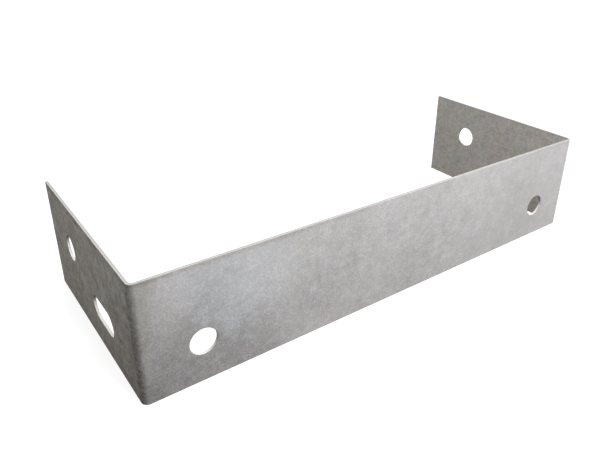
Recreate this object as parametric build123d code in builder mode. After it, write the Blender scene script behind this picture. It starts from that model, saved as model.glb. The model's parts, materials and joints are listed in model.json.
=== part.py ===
"""U bracket: one strip of galvanised steel sheet, pierced flat and folded twice.

The bracket stands on the strip's lower edge. X runs along the web, Y from the web towards the
free ends of the flanges, and Z up the strip's width. The origin is under the middle of the
bracket's outline, on the surface that it stands on. All sizes are in millimetres.
"""

import os

from build123d import *

# The folded strip
bracket_length = 240.0  # over the outer faces of both flanges
flange_depth = 96.0  # from the web's outer face to the flanges' free ends
strip_width = 50.0  # the bracket's height as it stands
sheet_thickness = 1.2
inside_bend_radius = 1.2  # left by the nose of the bending punch

# Rounding that shearing and punching draw over every edge of the outer face.
# The inner face's edges stay sharp, because the tools leave the sheet there.
edge_roll = 0.2

# Round holes in the web, one near each bend
web_hole_diameter = 11.0  # clears an M10 bolt
web_hole_inset = 24.0  # centre to the outer face of the nearer flange
web_hole_height = 17.4

# Round holes in the flanges, in line with each other
flange_hole_diameter = 11.0
flange_hole_reach = 70.0  # centre to the web's outer face
flange_hole_height = 30.0

# Slots in the flanges, between the round hole and the bend, also in line with each other
slot_length = 22.5
slot_width = 10.0
slot_reach = 35.5  # centre to the web's outer face
slot_height = 17.2

# Worked out from the sizes above
outer_left = -bracket_length / 2
outer_right = bracket_length / 2
web_face = -flange_depth / 2
free_end = flange_depth / 2
outside_bend_radius = inside_bend_radius + sheet_thickness
web_hole_offset = bracket_length / 2 - web_hole_inset
flange_hole_y = web_face + flange_hole_reach
slot_y = web_face + slot_reach

same_place = 0.01  # two points nearer than this are one


def stands_on(line, edge):
    """True where the middle of the edge is on the line, seen from above."""
    middle = edge.position_at(0.5)
    return line.distance_to(Vector(middle.X, middle.Y)) < same_place


with BuildPart() as u_bracket:
    # The strip seen on its long edge: the outer face's line, thickened inwards
    with BuildSketch():
        with BuildLine() as outer_face:
            FilletPolyline(
                (outer_left, free_end),
                (outer_left, web_face),
                (outer_right, web_face),
                (outer_right, free_end),
                radius=outside_bend_radius,
            )
            outer_line = outer_face.wire()
            offset(amount=sheet_thickness, side=Side.LEFT)
        make_face()
    extrude(amount=strip_width)

    # Sheared outline: both long edges, and the upright edges at the free ends
    long_edges = u_bracket.edges().filter_by(Axis.Z, reverse=True)
    end_edges = u_bracket.edges().filter_by(Axis.Z).group_by(Axis.Y)[-1]
    sheared = long_edges + end_edges
    fillet(sheared.filter_by(lambda edge: stands_on(outer_line, edge)), edge_roll)

    # Web holes, pierced from the outer face
    with Locations(Plane.XZ.offset(-web_face)):
        with Locations((-web_hole_offset, web_hole_height), (web_hole_offset, web_hole_height)):
            Hole(web_hole_diameter / 2, sheet_thickness)
    web_rims = u_bracket.edges(Select.LAST).group_by(Axis.Y)
    fillet(web_rims[0], edge_roll)

    # Flange holes and slots: each pair is in line, so one cut runs through both flanges
    with BuildSketch(Plane.YZ.offset(outer_left)):
        with Locations((flange_hole_y, flange_hole_height)):
            Circle(flange_hole_diameter / 2)
        with Locations((slot_y, slot_height)):
            SlotOverall(slot_length, slot_width)
    extrude(amount=bracket_length, mode=Mode.SUBTRACT)
    flange_rims = u_bracket.edges(Select.LAST).group_by(Axis.X)
    fillet(flange_rims[0] + flange_rims[-1], edge_roll)

u_bracket.part.label = "u_bracket"

os.makedirs("parts", exist_ok=True)
export_step(u_bracket.part, "parts/u_bracket.step")

print(f"volume {u_bracket.part.volume:.1f} mm3, valid {u_bracket.part.is_valid}")
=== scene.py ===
# %% [markdown]
# # A U bracket of galvanised steel
# The bracket is one strip of sheet steel, pierced flat and folded twice. The model that is
# loaded here gives its sizes and its place: it stands on the strip's lower edge, with X along
# the web, Y towards the free ends of the flanges and Z up. All lengths are in metres.

# %% Load the frame
import json
import math

import bmesh
import bpy
from mathutils import Matrix, Vector, geometry, noise


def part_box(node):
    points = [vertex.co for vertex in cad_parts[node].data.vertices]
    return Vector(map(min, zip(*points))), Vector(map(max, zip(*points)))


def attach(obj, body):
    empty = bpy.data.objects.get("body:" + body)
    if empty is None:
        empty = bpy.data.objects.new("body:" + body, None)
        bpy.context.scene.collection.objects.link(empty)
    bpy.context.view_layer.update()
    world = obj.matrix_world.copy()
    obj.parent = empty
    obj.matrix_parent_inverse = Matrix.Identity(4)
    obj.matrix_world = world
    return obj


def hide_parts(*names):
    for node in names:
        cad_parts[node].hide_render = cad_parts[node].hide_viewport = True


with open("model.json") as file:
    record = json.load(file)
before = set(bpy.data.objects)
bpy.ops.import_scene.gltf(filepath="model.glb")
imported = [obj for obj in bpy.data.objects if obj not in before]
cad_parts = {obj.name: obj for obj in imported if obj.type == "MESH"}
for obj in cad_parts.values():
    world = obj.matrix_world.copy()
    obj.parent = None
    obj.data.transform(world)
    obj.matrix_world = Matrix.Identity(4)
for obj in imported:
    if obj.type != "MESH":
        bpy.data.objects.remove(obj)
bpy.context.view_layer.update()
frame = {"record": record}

# %% [markdown]
# ## The strip before it is folded
# Sheet is shaped in the flat: it is sheared to width, pierced, and only then bent. A model made
# in the same order gets its holes, edges and zinc pattern right by itself. The lines below work
# out how long the flat strip was. Along a bend, the length that keeps its measure is that of
# the sheet's middle layer.

# %% Measure the strip
sheet_thickness = 0.0012
inside_bend_radius = 0.0012
outside_bend_radius = inside_bend_radius + sheet_thickness
middle_bend_radius = inside_bend_radius + sheet_thickness / 2

low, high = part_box("u_bracket")
strip_width = high.z - low.z
half_web = high.x - outside_bend_radius  # from the web's middle to the start of a bend
bend_length = math.pi / 2 * middle_bend_radius
flange_flat = high.y - low.y - outside_bend_radius
half_strip = half_web + bend_length + flange_flat
print(f"flat strip {2000 * half_strip:.1f} x {1000 * strip_width:.1f} mm")

# %% [markdown]
# ## Folding
# The fold is a formula. It takes a point of the flat strip, given by its distance along the
# strip from the web's middle, its height across the strip and its depth under the outer face,
# and gives the point's place in the finished bracket. Blender's Simple Deform modifier bends
# too, but it bends a whole object about one centre, and this strip needs two short arcs with
# straight sheet between them. A bend also stretches the sheet's outer skin, which draws the
# strip's edges in a little.

# %% Fold a point
bend_draw = 0.00012  # how far the outer skin's edge is drawn in over a bend
draw_reach = 0.003  # how far from the strip's edge the drawing-in reaches


def fold(along, across, depth):
    """The place in the bracket of a point of the flat strip."""
    beyond_web = abs(along) - half_web
    turn = min(max(beyond_web / middle_bend_radius, 0), math.pi / 2)
    radius = outside_bend_radius - depth
    x = min(abs(along), half_web) + radius * math.sin(turn)
    y = outside_bend_radius - radius * math.cos(turn) + max(beyond_web - bend_length, 0)

    skin_stretch = math.sin(2 * turn) * (1 - depth / sheet_thickness)
    from_edge = min(across, strip_width - across)
    drawn = bend_draw * skin_stretch * max(1 - from_edge / draw_reach, 0)
    z = across + math.copysign(drawn, strip_width / 2 - across)
    return Vector((math.copysign(x, along), low.y + y, low.z + z))


for name, along in (("web's middle", 0), ("right bend's middle", half_web + bend_length / 2)):
    print(name, [round(1000 * value, 2) for value in fold(along, strip_width / 2, 0)], "mm")

# %% [markdown]
# ## The holes and the outline
# Each opening is a closed line on the flat strip. A point of such a line also needs to know
# which way the metal lies, because the sheared edge is built back from the line into the metal.

# %% Draw one opening
round_steps = 48  # in half a circle
straight_step = 0.001


def spread(start, end, step):
    """Evenly spaced values from start up to, but without, the end."""
    count = max(round(abs(end - start) / step), 1)
    return [start + (end - start) * index / count for index in range(count)]


def round_ended(along, across, radius, straight):
    """The points of a hole and their ways into the metal. A slot is a hole with a straight run."""
    rim = []
    for side in (1, -1):
        end = Vector((along + side * straight / 2, across))
        for step in range(round_steps):
            angle = math.pi * ((step + 0.5) / round_steps - 0.5)
            outward = side * Vector((math.cos(angle), math.sin(angle)))
            rim.append((end + radius * outward, outward))
        outward = Vector((0, side))
        for shift in spread(straight / 2, -straight / 2, straight_step)[1:]:
            rim.append((Vector((along + side * shift, across)) + radius * outward, outward))
    return rim


print(len(round_ended(0, 0, 1, 0)), "points round a hole")

# %% [markdown]
# The frame's mounts say where the holes are and how wide. Two holes are in the web, and each
# flange has one hole and one slot. The slots' mount has only their place, so their length and
# width are written here. A flange's openings are known by their Y, which has to be turned into a
# distance along the flat strip.

# %% Place the openings
slot_length = 0.0225
slot_width = 0.010

mounts = {mount["name"]: mount for mount in frame["record"]["mounts"]}
web_holes = mounts["web_holes"]
flange_holes = mounts["flange_holes"]
flange_slots = mounts["flange_slots"]
web_hole_spacing = web_holes["dims"]["spacing_x_mm"] / 1000
web_hole_radius = web_holes["dims"]["hole_r_mm"] / 1000
flange_hole_radius = flange_holes["dims"]["r_mm"] / 1000


def along_flange(y):
    """The distance along the flat strip of a point of a flange at this y."""
    return half_web + bend_length + y - low.y - outside_bend_radius


hole_along = along_flange(flange_holes["pos_m"][1])
slot_along = along_flange(flange_slots["pos_m"][1])
web_hole_height = web_holes["pos_m"][2]
hole_height = flange_holes["pos_m"][2]
slot_height = flange_slots["pos_m"][2]
slot_straight = slot_length - slot_width

openings = []
for side in (-1, 1):
    openings.append(round_ended(side * web_hole_spacing / 2, web_hole_height, web_hole_radius, 0))
    openings.append(round_ended(side * hole_along, hole_height, flange_hole_radius, 0))
    openings.append(round_ended(side * slot_along, slot_height, slot_width / 2, slot_straight))
print(len(openings), "openings")

# %% [markdown]
# The outline is a plain rectangle, but it needs points close together where the strip will
# bend. A narrow step of flat sheet on each side of a bend keeps the smooth shading of the bend
# from running out over the flat faces.

# %% Draw the outline
flat_step = 0.002
shading_step = 0.0004
bend_steps = 12

bend_start = half_web - shading_step
bend_end = half_web + bend_length + shading_step
bend_stations = [bend_start]
bend_stations += [half_web + bend_length * step / bend_steps for step in range(bend_steps + 1)]
bend_stations += [bend_end]

right_stations = spread(0, bend_start, flat_step)[1:] + bend_stations
right_stations += spread(bend_end, half_strip, flat_step)[1:]
stations = [-along for along in reversed(right_stations)] + [0.0] + right_stations
heights = spread(0, strip_width, flat_step)[1:]

outline = [(Vector((-half_strip, 0)), Vector((1, 1)))]
outline += [(Vector((along, 0)), Vector((0, 1))) for along in stations]
outline += [(Vector((half_strip, 0)), Vector((-1, 1)))]
outline += [(Vector((half_strip, across)), Vector((-1, 0))) for across in heights]
outline += [(Vector((half_strip, strip_width)), Vector((-1, -1)))]
outline += [(Vector((along, strip_width)), Vector((0, -1))) for along in reversed(stations)]
outline += [(Vector((-half_strip, strip_width)), Vector((1, -1)))]
outline += [(Vector((-half_strip, across)), Vector((1, 0))) for across in reversed(heights)]
print(len(outline), "points round the outline")

# %% [markdown]
# ## The sheared edge
# A punch or a shear leaves the same marks on every edge. Where it enters, it rolls the sheet
# over in a soft round. Below that it rubs a smooth, straight band. The rest of the thickness
# tears, so it is rough, leans back a little and ends in a thin burr on the far side. Bevelling
# the whole mesh would round both sides alike, so the edge is drawn as a profile of its own.
# Each line of the profile has its distance back into the metal and its depth.

# %% Draw the edge's profile
roll_width = 0.00030
roll_depth = 0.00018
roll_steps = 5
smooth_band_end = 0.00050
tear_lean = 0.00006
burr_height = 0.00002
burr_width = 0.00006

roll = []
for step in range(roll_steps + 1):
    angle = math.pi / 2 * step / roll_steps
    roll.append((roll_width * (1 - math.sin(angle)), roll_depth * (1 - math.cos(angle))))

tear = [
    (0.0, smooth_band_end),
    (tear_lean / 2, (smooth_band_end + sheet_thickness) / 2),
    (tear_lean, sheet_thickness + burr_height),
]
burr_foot = [(tear_lean + burr_width, sheet_thickness)]
outer_start = [(roll_width + shading_step, 0.0)]
inner_end = [(tear_lean + burr_width + shading_step, sheet_thickness)]
profile = outer_start + roll + tear + burr_foot + inner_end
smooth_band_line = len(outer_start + roll)
first_bare_line = smooth_band_line - 1
last_bare_line = smooth_band_line + len(tear) - 1
print(len(profile), "lines in the profile, bare steel from", first_bare_line, "to", last_bare_line)

# %% [markdown]
# ## The mesh
# The rims come first: each line of points is copied once for every line of the profile, and the
# copies are joined by faces. The line where the smooth band starts to tear wanders, as it does
# in real steel. The zinc runs over the roll, and the rest of the edge is bare steel, which is
# the second material.

# %% Build the rims
tear_wander = 0.00012
tear_wave_length = 0.0016
zinc_slot = 0
bare_steel_slot = 1


def wandering(index, place, depth):
    """The depth of one profile line at this place. Only the start of the tear wanders."""
    if index != smooth_band_line:
        return depth
    return depth + tear_wander * noise.noise(place.to_3d() / tear_wave_length)


def build_rim(mesh, rim):
    """Adds one sheared edge to the flat mesh and returns its lines of vertices."""
    lines = []
    for index, (back, depth) in enumerate(profile):
        line = []
        for place, inward in rim:
            across_back = place + back * inward
            line.append(mesh.verts.new((*across_back, wandering(index, place, depth))))
        lines.append(line)
    for index in range(len(profile) - 1):
        bare = first_bare_line <= index < last_bare_line
        for at in range(len(rim)):
            near, far = lines[index], lines[index + 1]
            face = mesh.faces.new((near[at - 1], near[at], far[at], far[at - 1]))
            face.material_index = bare_steel_slot if bare else zinc_slot
    return lines


blank = bmesh.new()
outline_lines = build_rim(blank, outline)
opening_of = {}
for number, opening in enumerate(openings):
    for line in build_rim(blank, opening):
        opening_of.update((vertex, number) for vertex in line)
print(len(blank.faces), "faces in the rims")

# %% [markdown]
# The bends are strips of narrow faces from the lower edge to the upper one, which fold into
# smooth arcs.

# %% Build the bends
def fill_bends(mesh, line):
    """Fills the bends on one face of the sheet, from the lower edge to the upper one."""
    lower = {}
    upper = {}
    for vertex in line:
        edge = lower if vertex.co.y < strip_width / 2 else upper
        edge[round(vertex.co.x, 6)] = vertex
    for side in (-1, 1):
        bend = [round(side * along, 6) for along in bend_stations]
        for start, end in zip(bend, bend[1:]):
            mesh.faces.new((lower[start], lower[end], upper[end], upper[start]))


for line in (outline_lines[0], outline_lines[-1]):
    fill_bends(blank, line)
print(len(blank.faces), "faces with the bends")

# %% [markdown]
# What is left open now is the outer and inner face of each flange and of the web. Blender can
# fill an outline with holes in it by a constrained Delaunay triangulation. It fills the holes
# too, so the triangles across an opening are left out.

# %% Fill the flat faces
inside_the_lines = 1  # what the triangulation gives back
same_place = 1e-9


def middle(edge):
    """The middle of an edge of the flat mesh."""
    return (edge.verts[0].co + edge.verts[1].co) / 2


def flat_part(edge):
    """Which flat part of the strip the edge borders: a flange is -1 or 1, and the web is 0."""
    along = middle(edge).x
    if abs(along) < half_web:
        return 0
    return math.copysign(1, along)


def in_opening(corners):
    """True for a triangle across a hole: all its corners are on the rim of one opening."""
    rims = {opening_of.get(corner) for corner in corners}
    return len(rims) == 1 and None not in rims


def fill_flat(mesh, edges):
    """Fills the metal between the open lines with triangles."""
    corners = {corner for edge in edges for corner in edge.verts}
    corners = sorted(corners, key=lambda corner: corner.index)
    numbers = {corner: number for number, corner in enumerate(corners)}
    places = [corner.co.xy for corner in corners]
    links = [tuple(numbers[corner] for corner in edge.verts) for edge in edges]
    filled = geometry.delaunay_2d_cdt(places, links, [], inside_the_lines, same_place)
    triangles = filled[2]
    first_corners = filled[3]
    for triangle in triangles:
        triangle_corners = [corners[first_corners[number][0]] for number in triangle]
        if not in_opening(triangle_corners):
            mesh.faces.new(triangle_corners)


blank.verts.index_update()
open_edges = [edge for edge in blank.edges if edge.is_boundary]
for skin_depth in (0.0, sheet_thickness):
    on_skin = [edge for edge in open_edges if abs(middle(edge).z - skin_depth) < shading_step / 2]
    for part in (-1, 0, 1):
        fill_flat(blank, [edge for edge in on_skin if flat_part(edge) == part])
print("open edges left:", sum(edge.is_boundary for edge in blank.edges))

# %% [markdown]
# Now the strip is folded. Every vertex keeps its place in the flat strip as an attribute, so
# that the zinc's pattern can run round the bends as it does on sheet that was coated before it
# was folded.

# %% Fold the strip
sharp_angle = math.radians(35)

flat_place = blank.verts.layers.float_vector.new("flat_place")
for vertex in blank.verts:
    vertex[flat_place] = vertex.co
    vertex.co = fold(*vertex.co)
bmesh.ops.recalc_face_normals(blank, faces=blank.faces)

strip_mesh = bpy.data.meshes.new("galvanised_strip")
blank.to_mesh(strip_mesh)
blank.free()
strip_mesh.shade_smooth()
strip_mesh.set_sharp_from_angle(angle=sharp_angle)

strip = bpy.data.objects.new("galvanised_strip", strip_mesh)
bpy.context.scene.collection.objects.link(strip)
print(len(strip_mesh.polygons), "faces in the strip")

# %% [markdown]
# ## Working with shader nodes
# A finish is a sum of masks, and sums read best as sums. A Wire wraps the output of a node, and
# adding or multiplying wires adds the Math nodes.

# %% Wires
class Wire:
    """The output of a node, for use in expressions such as 1 - mask * 0.5."""

    def __init__(self, finish, socket):
        self.finish = finish
        self.socket = socket

    def math(self, operation, first, second):
        return self.finish.node("ShaderNodeMath", {"operation": operation}, {0: first, 1: second})

    def __add__(self, other):
        return self.math("ADD", self, other)

    def __radd__(self, other):
        return self.math("ADD", other, self)

    def __sub__(self, other):
        return self.math("SUBTRACT", self, other)

    def __rsub__(self, other):
        return self.math("SUBTRACT", other, self)

    def __mul__(self, other):
        return self.math("MULTIPLY", self, other)

    def __rmul__(self, other):
        return self.math("MULTIPLY", other, self)

    def __abs__(self):
        return self.math("ABSOLUTE", self, 0.0)


# %% [markdown]
# Every other node comes from one method, which takes the node's type, its settings and what goes
# into its sockets.

# %% Finishes
class Finish:
    """The nodes of a material or of the world, added one call at a time."""

    def __init__(self, owner):
        owner.use_nodes = True
        self.owner = owner
        self.tree = owner.node_tree
        self.tree.nodes.clear()

    def node(self, kind, settings=None, inputs=None, output=0):
        """Adds a node. The settings are set first, and an input is a number, a colour or a wire."""
        made = self.tree.nodes.new(kind)
        for name, value in (settings or {}).items():
            setattr(made, name, value)
        for name, value in (inputs or {}).items():
            if isinstance(value, Wire):
                self.tree.links.new(value.socket, made.inputs[name])
            else:
                made.inputs[name].default_value = value
        return Wire(self, made.outputs[output] if made.outputs else None)


# %% [markdown]
# ## Galvanised zinc
# The zinc on this sheet has no bright flowers. It is dull and cloudy: broad pale and dark
# clouds, a finer mottle, blotches of two or three millimetres, and a grain of light and dark
# specks under a millimetre across, coarser in some places than in others. Dark pits and pale
# flecks are scattered between them. A painted map could show all of this, but noise in the
# shader stays sharp at every distance and runs over the bends without a seam.
#
# The finish reads its places from the flat strip, so that every pattern runs over the bends.
# Both faces of the sheet read the same noise, so the depth is multiplied first, which carries
# the inner face into another part of it.

# %% Read places on the strip
inner_face_shift = 40.0  # times the depth


def sheet_place(finish):
    """Where a point lies on the flat strip: X along it, Y across it, Z under its outer face."""
    return finish.node("ShaderNodeAttribute", {"attribute_name": "flat_place"}, output="Vector")


def measure(finish, place, axis):
    """One of the three measures of a place."""
    return finish.node("ShaderNodeSeparateXYZ", None, {"Vector": place}, output=axis)


def stretched(finish, place, scale):
    """The place with its three measures multiplied, which squeezes the pattern drawn on it."""
    return finish.node("ShaderNodeMapping", None, {"Vector": place, "Scale": scale})


zinc = Finish(bpy.data.materials.new("galvanised_zinc"))
zinc_place = sheet_place(zinc)
zinc_along = measure(zinc, zinc_place, "X")
zinc_across = measure(zinc, zinc_place, "Y")
zinc_depth = measure(zinc, zinc_place, "Z")
zinc_pattern = stretched(zinc, zinc_place, (1.0, 1.0, inner_face_shift))
print(len(zinc.tree.nodes), "nodes that read the strip")

# %% [markdown]
# Each layer of the pattern is one cloudy noise with clouds of its own size. The grey film that
# zinc grows in air is not metal, so it changes the Metallic value as well as the colour.

# %% Clouds, mottle and grain
broad_size = 0.035
mottle_size = 0.006
blotch_size = 0.0024
grain_size = 0.0008
film_size = 0.009
tinge_size = 0.007


def cloud(finish, place, size, seed, detail=3.0, roughness=0.5):
    """Soft cloudy noise about 0.5, with clouds of this size in metres."""
    inputs = {
        "Vector": place,
        "W": seed,
        "Scale": 1 / size,
        "Detail": detail,
        "Roughness": roughness,
    }
    return finish.node("ShaderNodeTexNoise", {"noise_dimensions": "4D"}, inputs)


broad = cloud(zinc, zinc_pattern, broad_size, seed=3.0, detail=2.0)
mottle = cloud(zinc, zinc_pattern, mottle_size, seed=11.0, detail=3.0, roughness=0.6)
blotches = cloud(zinc, zinc_pattern, blotch_size, seed=17.0, detail=2.0)
grain = cloud(zinc, zinc_pattern, grain_size, seed=23.0, detail=3.0, roughness=0.6)
film = cloud(zinc, zinc_pattern, film_size, seed=47.0, detail=5.0, roughness=0.65)
tinge = cloud(zinc, zinc_pattern, tinge_size, seed=83.0, detail=3.0, roughness=0.6)
print(len(zinc.tree.nodes), "nodes in the zinc's clouds")

# %% [markdown]
# Most masks are made by one helper, a smooth fade between two values. Pits lie where the mottle
# is pale and flecks where it is dark. The flecks read the sheet mirrored, so they don't fall on
# the pits.

# %% Pits and flecks
pit_spacing = 0.0021
fleck_spacing = 0.0019
speck_radius = 0.0006


def fade(finish, value, start, end):
    """A smooth mask: 0 where the value is at the start, and 1 where it is at the end."""
    inputs = {"Value": value, "From Min": start, "From Max": end}
    return finish.node("ShaderNodeMapRange", {"interpolation_type": "SMOOTHSTEP"}, inputs)


def specks(finish, place, spacing, reach):
    """Small round marks scattered at this spacing: 1 in the middle of a mark and 0 between them."""
    inputs = {"Vector": place, "Scale": 1 / spacing}
    distance = finish.node("ShaderNodeTexVoronoi", None, inputs, output="Distance")
    return fade(finish, distance, reach / spacing, 0.0)


pits = specks(zinc, zinc_pattern, pit_spacing, speck_radius) * fade(zinc, mottle, 0.45, 0.58)
mirrored = stretched(zinc, zinc_pattern, (1.0, -1.0, 1.0))
flecks = specks(zinc, mirrored, fleck_spacing, speck_radius)
flecks = flecks * fade(zinc, mottle, 0.55, 0.42)
coarse = fade(zinc, blotches, 0.38, 0.62)

zinc_brightness = 1.0 + (broad - 0.5) * 0.28 + (mottle - 0.5) * 0.45 + (blotches - 0.5) * 0.18
zinc_brightness = zinc_brightness + (grain - 0.5) * (0.35 + coarse * 0.55)
print(len(zinc.tree.nodes), "nodes in the plain zinc")

# %% [markdown]
# ## The bloom, and darker and paler places
# One pale bloom has spread over the web near the left bend, where the stacked sheets were damp,
# and it hides the darkening of the web's lower corner beside the same bend. To its right is a
# patch that is a little duller. The strip's upper half is paler. Each mark is a mask, and the
# masks lighten or darken the same brightness, so they can lie over each other as they do on the
# sheet.

# %% Bloom and darker corner
bloom_middle = (-0.081, 0.033, 0.0)
bloom_radius = 0.029
tail_middle = (-0.097, 0.040, 0.0)
tail_radius = 0.022
corner_darkening_middle = (-0.100, -0.006, 0.0)
corner_darkening_radius = 0.065
dull_middle = (-0.046, 0.016, 0.0)
dull_radius = 0.026


def patch(finish, place, centre, radius, blur):
    """A round mark that fades from 1 at its centre to 0 at its radius. The blur breaks its rim."""
    settings = {"operation": "DISTANCE"}
    distance = finish.node("ShaderNodeVectorMath", settings, {0: place, 1: centre}, output="Value")
    return fade(finish, distance + (blur - 0.5) * radius, radius, 0.0)


ragged = 0.5 + (mottle - 0.5) * 2.2
bloom = patch(zinc, zinc_place, bloom_middle, bloom_radius, ragged)
bloom_tail = patch(zinc, zinc_place, tail_middle, tail_radius, ragged)
bloom = bloom.math("MAXIMUM", bloom, bloom_tail * 0.6)
# A darker place at the web's lower corner beside the left bend.
corner_darkening = patch(zinc, zinc_place, corner_darkening_middle, corner_darkening_radius, broad)
dull_patch = patch(zinc, zinc_place, dull_middle, dull_radius, broad)
# The strip's upper half is paler.
paler_upper_half = fade(zinc, zinc_across + (broad - 0.5) * 0.02, 0.022, 0.044)
zinc_brightness = zinc_brightness + bloom * (0.17 + flecks * 0.2) + paler_upper_half * 0.06
corner_darkening = corner_darkening * (1 - bloom * 0.8)
zinc_brightness = zinc_brightness - corner_darkening * 0.37 - dull_patch * 0.06
print(len(zinc.tree.nodes), "nodes with the bloom and the tarnish")

# %% [markdown]
# The flanges kept more of their pits and specks, most of all outside. The web's right end was
# handled more, so its pattern is weaker. Low on the right flange's inner face, near the bend, a
# pale patch is painted light, standing in for the light that the floor throws into that corner.

# %% Flanges and handled web
corner_light_middle = (0.132, 0.004, sheet_thickness)
corner_light_radius = 0.024

on_flange = fade(zinc, abs(zinc_along), half_web + bend_length * 0.2, half_web + bend_length)
outer_skin = fade(zinc, zinc_depth, sheet_thickness, 0.0)
weathered = on_flange * outer_skin
speckle = flecks * 0.13 - pits * 0.30 + (grain - 0.5) * 0.6 + (blotches - 0.5) * 0.5
handled = fade(zinc, zinc_along, 0.020, 0.100) * (1 - on_flange)
zinc_brightness = zinc_brightness + speckle * (0.45 + 0.9 * on_flange - 0.25 * handled)
zinc_brightness = zinc_brightness - (zinc_brightness - 1.0) * handled * 0.25
zinc_brightness = zinc_brightness + (mottle + blotches - 1.0) * weathered * 0.35
inner_flange = on_flange - weathered
zinc_brightness = zinc_brightness - (blotches - 0.5) * inner_flange * 0.22
# Painted light: a pale patch low on the right flange's inner face, near the bend.
painted_corner_light = patch(zinc, zinc_place, corner_light_middle, corner_light_radius, broad) * inner_flange
zinc_brightness = zinc_brightness + painted_corner_light * 0.42
print(len(zinc.tree.nodes), "nodes with the flanges and the handled web")

# %% [markdown]
# Over the bends the coat was stretched, so it is darker there, with fine cracks that run along
# the bend. The flanges' outer faces start a little darker beside the bends. From the left bend a
# painted shade fans out over the web, darker and warmer, a millimetre at the foot and about a
# centimetre at the top.

# %% Along the bends
crack_size = 0.00022
crack_stretch = 0.08

past_left_bend = zinc_along + half_web
# Painted shade: the web darkens beside the left bend, widest at the top.
bend_shadow = fade(zinc, past_left_bend - zinc_across * 0.2, 0.001, -0.009) * (1 - on_flange)
bend_shadow = bend_shadow * outer_skin
beyond_bend = abs(zinc_along) - (half_web + bend_length)
flange_root = fade(zinc, beyond_bend, 0.010, 0.001) * weathered
zinc_brightness = zinc_brightness * (1 - bend_shadow * 0.28) * (1 - flange_root * 0.10)

from_bend = abs(abs(zinc_along) - (half_web + bend_length * 0.85))
worked = fade(zinc, from_bend, 0.0022, 0.0006) * outer_skin
crack_place = stretched(zinc, zinc_place, (1.0, crack_stretch, 1.0))
cracks = fade(zinc, cloud(zinc, crack_place, crack_size, seed=61.0, detail=2.0), 0.50, 0.62)
cracks = cracks * worked
zinc_brightness = zinc_brightness - worked * 0.14 - cracks * 0.12
print(len(zinc.tree.nodes), "nodes with the bends")

# %% [markdown]
# Where the tools rolled the sheet over its edges the coat is thin, and the strip's top edge is
# stained brown beside the roll, most of all at the left and a little at the right. A few long
# scuffs run along the strip.

# %% Along the edges
scuff_size = 0.00035
scuff_stretch = 0.012

on_roll = fade(zinc, zinc_depth, 0.0, roll_depth * 0.6)
on_roll = on_roll * fade(zinc, zinc_depth, sheet_thickness, smooth_band_end)
top_edge = strip_width - zinc_across + (mottle - 0.5) * 0.004
stain_strength = fade(zinc, zinc_along, 0.030, -0.090) + fade(zinc, zinc_along, 0.070, 0.110) * 0.4
beside_edge = fade(zinc, top_edge, 0.0024, 0.0006) * stain_strength * outer_skin
scuff_place = stretched(zinc, zinc_pattern, (scuff_stretch, 1.0, 1.0))
scuffs = fade(zinc, cloud(zinc, scuff_place, scuff_size, seed=71.0, detail=2.0), 0.62, 0.74)
zinc_brightness = zinc_brightness - on_roll * 0.08 - beside_edge * 0.14 + scuffs * 0.04
print(len(zinc.tree.nodes), "nodes with the edges")

# %% [markdown]
# The colours are mixed last, because every mark's mask is needed first. On the flanges the zinc
# is warmer and drifts between brown and olive, and the warmth is partly a painted shade tone, the
# warm cast of their faces in shade. On the web it hardly leaves grey, with a little green in its
# darker clouds. A trace of pink here and of moss green there lies over both.

# %% Mix the zinc's colours
warm_zinc = (0.394, 0.365, 0.348, 1)
cool_zinc = (0.386, 0.365, 0.354, 1)
green_zinc = (0.384, 0.368, 0.348, 1)
brown_zinc = (0.420, 0.371, 0.322, 1)
olive_zinc = (0.396, 0.376, 0.340, 1)
pink_zinc = (0.412, 0.355, 0.340, 1)
moss_zinc = (0.386, 0.384, 0.324, 1)
bloom_zinc = (0.378, 0.371, 0.369, 1)
bend_shade_colour = (0.400, 0.374, 0.336, 1)
edge_stain = (0.350, 0.305, 0.250, 1)


def tint(finish, mask, first, second):
    """The first colour where the mask is 0, and the second where it is 1."""
    inputs = {0: mask, 6: first, 7: second}
    return finish.node("ShaderNodeMix", {"data_type": "RGBA"}, inputs, output=2)


web_colour = tint(zinc, fade(zinc, film, 0.40, 0.60), cool_zinc, warm_zinc)
web_colour = tint(zinc, fade(zinc, broad, 0.52, 0.35), web_colour, green_zinc)
# The flanges' warmer colours are partly a painted shade tone.
flange_colour = tint(zinc, fade(zinc, film, 0.38, 0.62), olive_zinc, brown_zinc)
zinc_colour = tint(zinc, on_flange, web_colour, flange_colour)
tinged = 0.15 + on_flange * 0.25
zinc_colour = tint(zinc, fade(zinc, tinge, 0.50, 0.62) * tinged, zinc_colour, pink_zinc)
zinc_colour = tint(zinc, fade(zinc, tinge, 0.50, 0.38) * tinged, zinc_colour, moss_zinc)
zinc_colour = tint(zinc, bloom, zinc_colour, bloom_zinc)
# The painted shade beside the left bend also takes a warmer colour.
zinc_colour = tint(zinc, bend_shadow, zinc_colour, bend_shade_colour)
stained = on_roll.math("MAXIMUM", on_roll * 0.2, beside_edge * 0.28)
zinc_colour = tint(zinc, stained, zinc_colour, edge_stain)
print(len(zinc.tree.nodes), "nodes with the colours")

# %% [markdown]
# The film, the grain and the cracks also have a relief of a few hundredths of a millimetre. Each
# bump lies on top of the one before.

# %% Relief of the zinc
film_relief = 0.00008
grain_relief = 0.00003
crack_relief = 0.00003


def emboss(finish, height, depth, below=None):
    """A bump of this depth in metres, on top of another bump if one is given."""
    inputs = {"Height": height, "Distance": depth}
    if below:
        inputs["Normal"] = below
    return finish.node("ShaderNodeBump", None, inputs)


zinc_bump = emboss(zinc, film, film_relief)
zinc_bump = emboss(zinc, grain + flecks * 0.3 - pits * 0.6, grain_relief, below=zinc_bump)
zinc_bump = emboss(zinc, 1 - cracks, crack_relief, below=zinc_bump)
print(len(zinc.tree.nodes), "nodes with the relief")

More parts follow.
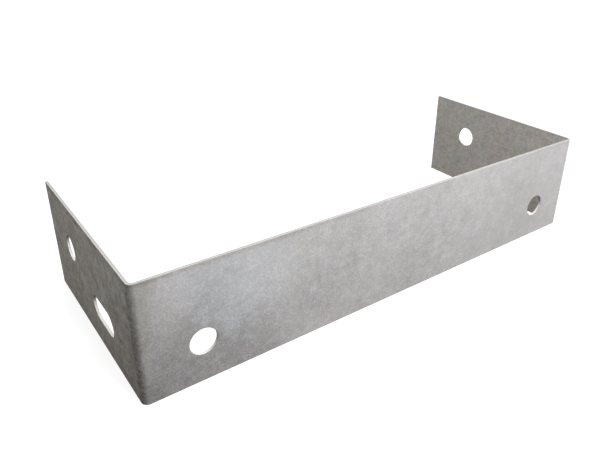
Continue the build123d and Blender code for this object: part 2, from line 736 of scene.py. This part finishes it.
# %% [markdown]
# The brightness of all the marks is multiplied into the colour. The grey film hardly reflects as
# metal does, and the flanges' outer faces are rougher than the web.

# %% Galvanised zinc
def shade(finish, colour, brightness):
    """The colour made brighter or darker."""
    settings = {"operation": "SCALE"}
    return finish.node("ShaderNodeVectorMath", settings, {0: colour, "Scale": brightness})


def to_surface(finish, shader):
    """Connects the finished shader to the material's output."""
    finish.node("ShaderNodeOutputMaterial", None, {"Surface": shader})
    return finish.owner


zinc_roughness = 0.62 + (film - 0.5) * 0.3 + (grain - 0.5) * 0.2
zinc_roughness = zinc_roughness + bloom * 0.08 - scuffs * 0.06 + weathered * 0.12
inputs = {
    "Base Color": shade(zinc, zinc_colour, zinc_brightness),
    "Metallic": 0.20 - (film - 0.5) * 0.3 + on_roll * 0.2 - on_flange * 0.14,
    "Specular IOR Level": 0.12,
    "Roughness": zinc_roughness,
    "Normal": zinc_bump,
}
galvanised_zinc = to_surface(zinc, zinc.node("ShaderNodeBsdfPrincipled", None, inputs))
strip.data.materials.append(galvanised_zinc)
print(len(zinc.tree.nodes), "nodes in the zinc")

# %% [markdown]
# ## Bare sheared steel
# The cut edges show the steel itself, dulled by a thin brown film of oxide, so hardly any of it
# still reflects as metal. The band that the tool rubbed is smoother and paler. The torn band is
# rougher and darker, with crumbs. Both have fine lines that run through the thickness, the way
# the tool moved.

# %% Tool lines and crumbs
tool_line_size = 0.00012
tool_line_stretch = 0.12
crumb_size = 0.00015

steel = Finish(bpy.data.materials.new("sheared_steel"))
steel_place = sheet_place(steel)
steel_along = measure(steel, steel_place, "X")
steel_across = measure(steel, steel_place, "Y")
steel_depth = measure(steel, steel_place, "Z")

through_sheet = stretched(steel, steel_place, (1.0, 1.0, tool_line_stretch))
tool_lines = cloud(steel, through_sheet, tool_line_size, seed=5.0, detail=2.0)
crumbs = cloud(steel, steel_place, crumb_size, seed=9.0, detail=3.0, roughness=0.7)
torn = fade(steel, steel_depth, smooth_band_end, smooth_band_end + tear_wander)
print(len(steel.tree.nodes), "nodes in the plain steel")

# %% [markdown]
# The openings' walls are painted paler than the strip's outline, as painted light. How far a
# point lies from the outline tells the two apart. The walls that face down are painted dark, as
# painted shade. The outline is a little darker near the right bend and along the right flange.

# %% Walls and outline
from_outline = steel_across.math("MINIMUM", steel_across, strip_width - steel_across)
from_outline = from_outline.math("MINIMUM", from_outline, half_strip - abs(steel_along))
punched = fade(steel, from_outline, 0.0005, 0.0010)
# The outline darkens towards the right.
darker_rightwards = fade(steel, steel_along, 0.040, 0.110) * (1 - punched)
upward = measure(steel, steel.node("ShaderNodeNewGeometry", output="Normal"), "Z")
# Painted shade on the walls that face down.
painted_shade_below = fade(steel, upward, 0.4, -0.7) * punched
print(len(steel.tree.nodes), "nodes with the walls")

# %% [markdown]
# The steel's relief is that of its lines and crumbs, each where its own band is.

# %% Sheared steel
steel_colour = (0.405, 0.379, 0.345)
steel_relief = 0.00003

steel_brightness = 1.0 + (tool_lines - 0.5) * 0.25 - torn * 0.12 + torn * (crumbs - 0.5) * 0.5
# The openings' walls are lifted paler as painted light, and those that face down are darkened as
# painted shade.
steel_brightness = steel_brightness * (1 + punched * 0.6 - darker_rightwards * 0.12) * (1 - painted_shade_below * 0.8)
inputs = {
    "Base Color": shade(steel, steel_colour, steel_brightness),
    "Metallic": 0.05,
    "Specular IOR Level": 0.1,
    "Roughness": 0.55 + torn * 0.2 + (tool_lines - 0.5) * 0.2,
    "Normal": emboss(steel, tool_lines * (1 - torn) + crumbs * torn, steel_relief),
}
sheared_steel = to_surface(steel, steel.node("ShaderNodeBsdfPrincipled", None, inputs))
strip.data.materials.append(sheared_steel)
print(len(steel.tree.nodes), "nodes in the steel")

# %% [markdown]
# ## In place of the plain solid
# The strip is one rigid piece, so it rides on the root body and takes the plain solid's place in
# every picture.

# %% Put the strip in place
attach(strip, "root")
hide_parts("u_bracket")
print("materials:", [material.name for material in strip.data.materials])

# %% [markdown]
# ## The floor
# A round floor of matt paper reaches far enough to fill every view from above. The paper itself
# is a light grey, so it throws little light back under the bracket. Its white is a glow that
# only the camera and reflections see, a little weaker near the bracket, so the bracket's soft
# shadow still shows there, and full further out, where the floor meets the white studio.

# %% Floor
floor_radius = 6.0
floor_steps = 64
near_glow = 0.90
far_glow = 1.0
glow_reach = 0.45
paper_grey = (0.26, 0.25, 0.235, 1)
tooth_size = 0.004
tooth_depth = 0.0001


def seen_directly(finish):
    """1 for the camera and for what shiny or clear things show, and 0 for all other light."""
    camera = finish.node("ShaderNodeLightPath", output="Is Camera Ray")
    glossy = finish.node("ShaderNodeLightPath", output="Is Glossy Ray")
    clear = finish.node("ShaderNodeLightPath", output="Is Transmission Ray")
    return camera.math("MAXIMUM", camera, camera.math("MAXIMUM", glossy, clear))


def floor_paper():
    """Matt paper with a faint tooth, lifted to white for the camera."""
    finish = Finish(bpy.data.materials.new("floor_paper"))
    place = finish.node("ShaderNodeTexCoord", output="Object")
    tooth = cloud(finish, place, tooth_size, seed=2.0, detail=4.0)
    inputs = {"Color": paper_grey, "Normal": emboss(finish, tooth, tooth_depth)}
    paper = finish.node("ShaderNodeBsdfDiffuse", None, inputs)
    settings = {"operation": "LENGTH"}
    distance = finish.node("ShaderNodeVectorMath", settings, {0: place}, output="Value")
    level = near_glow + (far_glow - near_glow) * fade(finish, distance, glow_reach / 4, glow_reach)
    glow = finish.node("ShaderNodeEmission", None, {"Color": (1, 1, 1, 1), "Strength": 1.0})
    dark = finish.node("ShaderNodeEmission", None, {"Color": (0, 0, 0, 1), "Strength": 0.0})
    inputs = {0: seen_directly(finish) * level, 1: dark, 2: glow}
    lift = finish.node("ShaderNodeMixShader", None, inputs)
    return to_surface(finish, finish.node("ShaderNodeAddShader", None, {0: paper, 1: lift}))


floor_shape = bmesh.new()
bmesh.ops.create_circle(floor_shape, cap_ends=True, segments=floor_steps, radius=floor_radius)
bmesh.ops.translate(floor_shape, verts=floor_shape.verts, vec=(0, 0, low.z))
floor_mesh = bpy.data.meshes.new("floor")
floor_shape.to_mesh(floor_mesh)
floor_shape.free()
floor_mesh.materials.append(floor_paper())
floor = bpy.data.objects.new("floor", floor_mesh)
bpy.context.scene.collection.objects.link(floor)
print(f"floor {2 * floor_radius:.0f} m across")

# %% [markdown]
# ## Light
# Five soft lamps light the bracket. One stands above the web's middle, in front of it. Two more
# stand to the right, a large one further off and a small low one, so the web brightens towards
# them and the flanges' left faces stay in shade. One behind the bracket lights the cut edges
# that face up and the web's inner face, and a weak one at the left keeps the left flange from
# going black. A dim world fills what no lamp reaches. The lamps are small enough for soft but
# readable shading, and the zinc renders about as bright as it was mixed.

# %% Lamps and world
bracket_middle = (low + high) / 2
daylight = (0.93, 0.98, 1.045)
fill_strength = 0.08


def soft_lamp(name, place, size, power):
    """A square lamp that faces the bracket."""
    data = bpy.data.lights.new(name, "AREA")
    data.shape = "SQUARE"
    data.size = size
    data.energy = power
    data.color = daylight
    lamp = bpy.data.objects.new(name, data)
    lamp.location = bracket_middle + Vector(place)
    lamp.rotation_euler = (-Vector(place)).to_track_quat("-Z", "Y").to_euler()
    bpy.context.scene.collection.objects.link(lamp)


soft_lamp("right_lamp", (0.60, -0.32, 0.33), 0.40, 1.45)
soft_lamp("front_lamp", (0.0, -0.25, 0.30), 0.20, 1.72)
soft_lamp("near_right_lamp", (0.38, -0.24, 0.16), 0.25, 1.01)
soft_lamp("back_lamp", (0.05, 0.50, 0.50), 0.30, 4.36)
soft_lamp("left_lamp", (-0.45, 0.10, 0.30), 0.30, 0.26)

sky = Finish(bpy.data.worlds.new("studio"))
bpy.context.scene.world = sky.owner
fill = sky.node("ShaderNodeBackground", None, {"Color": (1, 1, 1, 1), "Strength": fill_strength})
white = sky.node("ShaderNodeBackground", None, {"Color": (1, 1, 1, 1), "Strength": 1.0})
studio = sky.node("ShaderNodeMixShader", None, {0: seen_directly(sky), 1: fill, 2: white})
sky.node("ShaderNodeOutputWorld", None, {"Surface": studio})

# %% [markdown]
# ## The camera
# The camera stands close, to the left of the bracket and above it, so the near flange looks
# large and the far one small.

# %% Camera
camera_aim = bracket_middle + Vector((0.0051, 0.0108, 0.0))
camera_distance = 0.3093
camera_heading = math.radians(37.77)  # from +Y towards +X
camera_dip = math.radians(25.45)
camera_roll = math.radians(1.51)

camera_data = bpy.data.cameras.new("camera")
camera_data.sensor_width = 36
camera_data.lens = 36.20
camera_data.shift_x = -0.0524
camera_data.shift_y = -0.0509
camera_data.clip_start = 0.01
camera = bpy.data.objects.new("camera", camera_data)
bpy.context.scene.collection.objects.link(camera)
turned = Matrix.Rotation(-camera_heading, 4, "Z")
tipped = Matrix.Rotation(math.pi / 2 - camera_dip, 4, "X")
rolled = Matrix.Rotation(camera_roll, 4, "Z")
facing = turned @ tipped @ rolled
step_back = Matrix.Translation((0, 0, camera_distance))
camera.matrix_world = Matrix.Translation(camera_aim) @ facing @ step_back
bpy.context.scene.camera = camera
bpy.context.scene.view_settings.view_transform = "Standard"
print("camera at", [round(1000 * value, 1) for value in camera.matrix_world.translation], "mm")
